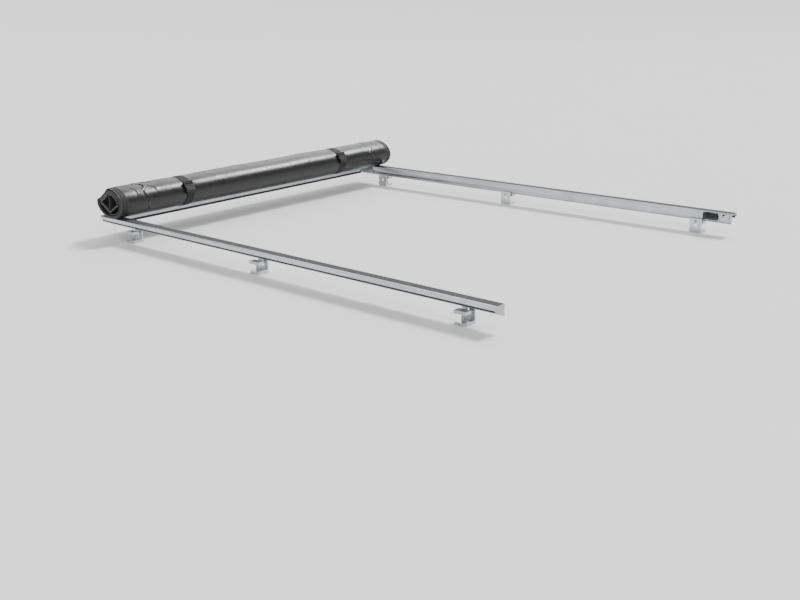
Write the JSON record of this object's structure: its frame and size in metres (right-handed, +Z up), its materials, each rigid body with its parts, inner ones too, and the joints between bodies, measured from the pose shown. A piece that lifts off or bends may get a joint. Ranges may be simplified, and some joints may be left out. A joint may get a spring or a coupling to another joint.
{
  "type": "soft roll-up tonneau cover",
  "caption": "Soft vinyl roll-up tonneau cover on clamp-on aluminium side rails, rolled forward and strapped at the cab end; it unrolls flat over the bed.",
  "frame": {"origin": "middle of the rails' plan, at the underside of the clamps", "axes": "+Y towards the cab along the rails, +X towards the passenger side, +Z up"},
  "size_m": [1.55, 1.9905, 0.2158],
  "materials": {
    "rail_aluminium": "mill-finish extruded aluminium with fine draw lines",
    "bar_aluminium": "satin extruded aluminium",
    "bright_aluminium": "bright sawn and deburred aluminium",
    "hook_tape": "black hook-and-loop tape",
    "seal_rubber": "black foam rubber",
    "black_plastic": "moulded black nylon",
    "zinc_steel": "zinc-plated steel",
    "black_vinyl": "black grained vinyl coated on woven fabric, semi-gloss",
    "webbing": "black woven polyester webbing"
  },
  "bodies": {
    "base": {"rail_left": "rail_aluminium", "rail_right": "rail_aluminium", "hook_strips": "hook_tape", "seals": "seal_rubber", "tail_catches": "black_plastic", "striker_plates": "bright_aluminium", "header_rail": "bar_aluminium", "corner_brackets": "zinc_steel", "clamp_bodies": "bright_aluminium", "fasteners": "zinc_steel", "cover_front": "black_vinyl"},
    "panel_01": {"cover_panel_01": "black_vinyl", "strap_web_1": "webbing"},
    "panel_02": {"cover_panel_02": "black_vinyl", "strap_web_2": "webbing"},
    "panel_03": {"cover_panel_03": "black_vinyl", "strap_web_3": "webbing", "buckle_sockets": "black_plastic"},
    "panel_04": {"cover_panel_04": "black_vinyl", "strap_web_4": "webbing"},
    "panel_05": {"cover_panel_05": "black_vinyl", "strap_web_5": "webbing", "bow_1": "bar_aluminium"},
    "panel_06": {"cover_panel_06": "black_vinyl"},
    "panel_07": {"cover_panel_07": "black_vinyl"},
    "panel_08": {"cover_panel_08": "black_vinyl"},
    "panel_09": {"cover_panel_09": "black_vinyl", "bow_2": "bar_aluminium"},
    "panel_10": {"cover_panel_10": "black_vinyl"},
    "panel_11": {"cover_panel_11": "black_vinyl"},
    "panel_12": {"cover_panel_12": "black_vinyl"},
    "panel_13": {"cover_panel_13": "black_vinyl"},
    "panel_14": {"cover_panel_14": "black_vinyl", "bow_3": "bar_aluminium"},
    "panel_15": {"cover_panel_15": "black_vinyl"},
    "panel_16": {"cover_panel_16": "black_vinyl"},
    "panel_17": {"cover_panel_17": "black_vinyl"},
    "panel_18": {"cover_panel_18": "black_vinyl"},
    "panel_19": {"cover_panel_19": "black_vinyl", "bow_4": "bar_aluminium"},
    "panel_20": {"cover_panel_20": "black_vinyl"},
    "panel_21": {"cover_panel_21": "black_vinyl"},
    "panel_22": {"cover_panel_22": "black_vinyl"},
    "panel_23": {"cover_panel_23": "black_vinyl"},
    "panel_24": {"cover_panel_24": "black_vinyl"},
    "panel_25": {"cover_panel_25": "black_vinyl", "rear_bar": "bar_aluminium", "rear_bar_seal": "seal_rubber"},
    "latch_left": {"latch_left": "zinc_steel"},
    "buckle_plug_left": {"buckle_plug_left": "black_plastic"},
    "latch_right": {"latch_right": "zinc_steel"},
    "buckle_plug_right": {"buckle_plug_right": "black_plastic"},
    "jaw_1": {"clamp_jaw_1": "rail_aluminium"},
    "jaw_2": {"clamp_jaw_2": "rail_aluminium"},
    "jaw_3": {"clamp_jaw_3": "rail_aluminium"},
    "jaw_4": {"clamp_jaw_4": "rail_aluminium"},
    "jaw_5": {"clamp_jaw_5": "rail_aluminium"},
    "jaw_6": {"clamp_jaw_6": "rail_aluminium"}
  },
  "joints": [
    {"name": "cover_unroll", "type": "hinge", "parent": "base", "child": "panel_01", "pos_m": [0, 0.91, 0.0897], "axis": [1, 0, 0], "range_deg": [0, 16.06], "deforming": ["cover_panel_01", "strap_web_1"]},
    {"name": "cover_bend_02", "type": "hinge", "parent": "panel_01", "child": "panel_02", "pos_m": [0, 0.84909, 0.10723], "axis": [1, 0, 0], "range_deg": [0, 43.14], "deforming": ["cover_panel_02", "strap_web_2"]},
    {"name": "cover_bend_03", "type": "hinge", "parent": "panel_02", "child": "panel_03", "pos_m": [0, 0.82386, 0.14956], "axis": [1, 0, 0], "range_deg": [0, 61.6], "deforming": ["cover_panel_03", "strap_web_3"]},
    {"name": "cover_bend_04", "type": "hinge", "parent": "panel_03", "child": "panel_04", "pos_m": [0, 0.84909, 0.19189], "axis": [1, 0, 0], "range_deg": [0, 43.14], "deforming": ["cover_panel_04", "strap_web_4"]},
    {"name": "cover_bend_05", "type": "hinge", "parent": "panel_04", "child": "panel_05", "pos_m": [0, 0.91, 0.20942], "axis": [1, 0, 0], "range_deg": [0, 50.85], "deforming": ["cover_panel_05", "strap_web_5"]},
    {"name": "cover_bend_06", "type": "hinge", "parent": "panel_05", "child": "panel_06", "pos_m": [0, 0.99614, 0.14956], "axis": [1, 0, 0], "range_deg": [0, 112.21], "deforming": ["cover_panel_06"]},
    {"name": "cover_bend_07", "type": "hinge", "parent": "panel_06", "child": "panel_07", "pos_m": [0, 0.91, 0.09364], "axis": [1, 0, 0], "range_deg": [0, 67.79], "deforming": ["cover_panel_07"]},
    {"name": "cover_bend_08", "type": "hinge", "parent": "panel_07", "child": "panel_08", "pos_m": [0, 0.82953, 0.14956], "axis": [1, 0, 0], "range_deg": [0, 112.46], "deforming": ["cover_panel_08"]},
    {"name": "cover_bend_09", "type": "hinge", "parent": "panel_08", "child": "panel_09", "pos_m": [0, 0.91, 0.2013], "axis": [1, 0, 0], "range_deg": [0, 67.54], "deforming": ["cover_panel_09"]},
    {"name": "cover_bend_10", "type": "hinge", "parent": "panel_09", "child": "panel_10", "pos_m": [0, 0.98446, 0.14956], "axis": [1, 0, 0], "range_deg": [0, 110.29], "deforming": ["cover_panel_10"]},
    {"name": "cover_bend_11", "type": "hinge", "parent": "panel_10", "child": "panel_11", "pos_m": [0, 0.91, 0.09759], "axis": [1, 0, 0], "range_deg": [0, 69.71], "deforming": ["cover_panel_11"]},
    {"name": "cover_bend_12", "type": "hinge", "parent": "panel_11", "child": "panel_12", "pos_m": [0, 0.83521, 0.14956], "axis": [1, 0, 0], "range_deg": [0, 112.62], "deforming": ["cover_panel_12"]},
    {"name": "cover_bend_13", "type": "hinge", "parent": "panel_12", "child": "panel_13", "pos_m": [0, 0.91, 0.19736], "axis": [1, 0, 0], "range_deg": [0, 69.87], "deforming": ["cover_panel_13"]},
    {"name": "cover_bend_14", "type": "hinge", "parent": "panel_13", "child": "panel_14", "pos_m": [0, 0.97278, 0.14956], "axis": [1, 0, 0], "range_deg": [0, 107.78], "deforming": ["cover_panel_14"]},
    {"name": "cover_bend_15", "type": "hinge", "parent": "panel_14", "child": "panel_15", "pos_m": [0, 0.91, 0.1057], "axis": [1, 0, 0], "range_deg": [0, 67.33], "deforming": ["cover_panel_15"]},
    {"name": "cover_bend_16", "type": "hinge", "parent": "panel_15", "child": "panel_16", "pos_m": [0, 0.84088, 0.14956], "axis": [1, 0, 0], "range_deg": [0, 115.21], "deforming": ["cover_panel_16"]},
    {"name": "cover_bend_17", "type": "hinge", "parent": "panel_16", "child": "panel_17", "pos_m": [0, 0.91, 0.19342], "axis": [1, 0, 0], "range_deg": [0, 69.92], "deforming": ["cover_panel_17"]},
    {"name": "cover_bend_18", "type": "hinge", "parent": "panel_17", "child": "panel_18", "pos_m": [0, 0.9671, 0.14956], "axis": [1, 0, 0], "range_deg": [0, 110.43], "deforming": ["cover_panel_18"]},
    {"name": "cover_bend_19", "type": "hinge", "parent": "panel_18", "child": "panel_19", "pos_m": [0, 0.91, 0.11382], "axis": [1, 0, 0], "range_deg": [0, 63.93], "deforming": ["cover_panel_19"]},
    {"name": "cover_bend_20", "type": "hinge", "parent": "panel_19", "child": "panel_20", "pos_m": [0, 0.85256, 0.14956], "axis": [1, 0, 0], "range_deg": [0, 113.31], "deforming": ["cover_panel_20"]},
    {"name": "cover_bend_21", "type": "hinge", "parent": "panel_20", "child": "panel_21", "pos_m": [0, 0.91, 0.18947], "axis": [1, 0, 0], "range_deg": [0, 72.61], "deforming": ["cover_panel_21"]},
    {"name": "cover_bend_22", "type": "hinge", "parent": "panel_21", "child": "panel_22", "pos_m": [0, 0.96143, 0.14956], "axis": [1, 0, 0], "range_deg": [0, 110.46], "deforming": ["cover_panel_22"]},
    {"name": "cover_bend_23", "type": "hinge", "parent": "panel_22", "child": "panel_23", "pos_m": [0, 0.91, 0.11776], "axis": [1, 0, 0], "range_deg": [0, 63.29], "deforming": ["cover_panel_23"]},
    {"name": "cover_bend_24", "type": "hinge", "parent": "panel_23", "child": "panel_24", "pos_m": [0, 0.85824, 0.14956], "axis": [1, 0, 0], "range_deg": [0, 113.64], "deforming": ["cover_panel_24"]},
    {"name": "cover_bend_25", "type": "hinge", "parent": "panel_24", "child": "panel_25", "pos_m": [0, 0.91, 0.18553], "axis": [1, 0, 0], "range_deg": [0, 124.8], "deforming": ["cover_panel_25"]},
    {"name": "latch_left_slide", "type": "slide", "parent": "panel_25", "child": "latch_left", "axis": [-1, 0, 0], "range_m": [0, 0.014]},
    {"name": "latch_right_slide", "type": "slide", "parent": "panel_25", "child": "latch_right", "axis": [1, 0, 0], "range_m": [0, 0.014]},
    {"name": "buckle_left_release", "type": "slide", "parent": "panel_03", "child": "buckle_plug_left", "axis": [0, 0.512, 0.859], "range_m": [0, 0.02]},
    {"name": "buckle_right_release", "type": "slide", "parent": "panel_03", "child": "buckle_plug_right", "axis": [0, 0.512, 0.859], "range_m": [0, 0.02]},
    {"name": "clamp_1_jaw", "type": "slide", "parent": "base", "child": "jaw_1", "axis": [0, 0, -1], "range_m": [0, 0.018]},
    {"name": "clamp_2_jaw", "type": "slide", "parent": "base", "child": "jaw_2", "axis": [0, 0, -1], "range_m": [0, 0.018]},
    {"name": "clamp_3_jaw", "type": "slide", "parent": "base", "child": "jaw_3", "axis": [0, 0, -1], "range_m": [0, 0.018]},
    {"name": "clamp_4_jaw", "type": "slide", "parent": "base", "child": "jaw_4", "axis": [0, 0, -1], "range_m": [0, 0.018]},
    {"name": "clamp_5_jaw", "type": "slide", "parent": "base", "child": "jaw_5", "axis": [0, 0, -1], "range_m": [0, 0.018]},
    {"name": "clamp_6_jaw", "type": "slide", "parent": "base", "child": "jaw_6", "axis": [0, 0, -1], "range_m": [0, 0.018]}
  ],
  "couplings": [
    {"joint": "cover_bend_02", "follows": "cover_unroll", "ratio": 2.6868},
    {"joint": "cover_bend_03", "follows": "cover_unroll", "ratio": 3.8358},
    {"joint": "cover_bend_04", "follows": "cover_unroll", "ratio": 2.6868},
    {"joint": "cover_bend_05", "follows": "cover_unroll", "ratio": 3.1669},
    {"joint": "cover_bend_06", "follows": "cover_unroll", "ratio": 6.988},
    {"joint": "cover_bend_07", "follows": "cover_unroll", "ratio": 4.2213},
    {"joint": "cover_bend_08", "follows": "cover_unroll", "ratio": 7.0034},
    {"joint": "cover_bend_09", "follows": "cover_unroll", "ratio": 4.2059},
    {"joint": "cover_bend_10", "follows": "cover_unroll", "ratio": 6.868},
    {"joint": "cover_bend_11", "follows": "cover_unroll", "ratio": 4.3412},
    {"joint": "cover_bend_12", "follows": "cover_unroll", "ratio": 7.0134},
    {"joint": "cover_bend_13", "follows": "cover_unroll", "ratio": 4.351},
    {"joint": "cover_bend_14", "follows": "cover_unroll", "ratio": 6.7116},
    {"joint": "cover_bend_15", "follows": "cover_unroll", "ratio": 4.1932},
    {"joint": "cover_bend_16", "follows": "cover_unroll", "ratio": 7.1745},
    {"joint": "cover_bend_17", "follows": "cover_unroll", "ratio": 4.3542},
    {"joint": "cover_bend_18", "follows": "cover_unroll", "ratio": 6.8771},
    {"joint": "cover_bend_19", "follows": "cover_unroll", "ratio": 3.9813},
    {"joint": "cover_bend_20", "follows": "cover_unroll", "ratio": 7.0564},
    {"joint": "cover_bend_21", "follows": "cover_unroll", "ratio": 4.5217},
    {"joint": "cover_bend_22", "follows": "cover_unroll", "ratio": 6.8787},
    {"joint": "cover_bend_23", "follows": "cover_unroll", "ratio": 3.9411},
    {"joint": "cover_bend_24", "follows": "cover_unroll", "ratio": 7.077},
    {"joint": "cover_bend_25", "follows": "cover_unroll", "ratio": 7.7715}
  ]
}
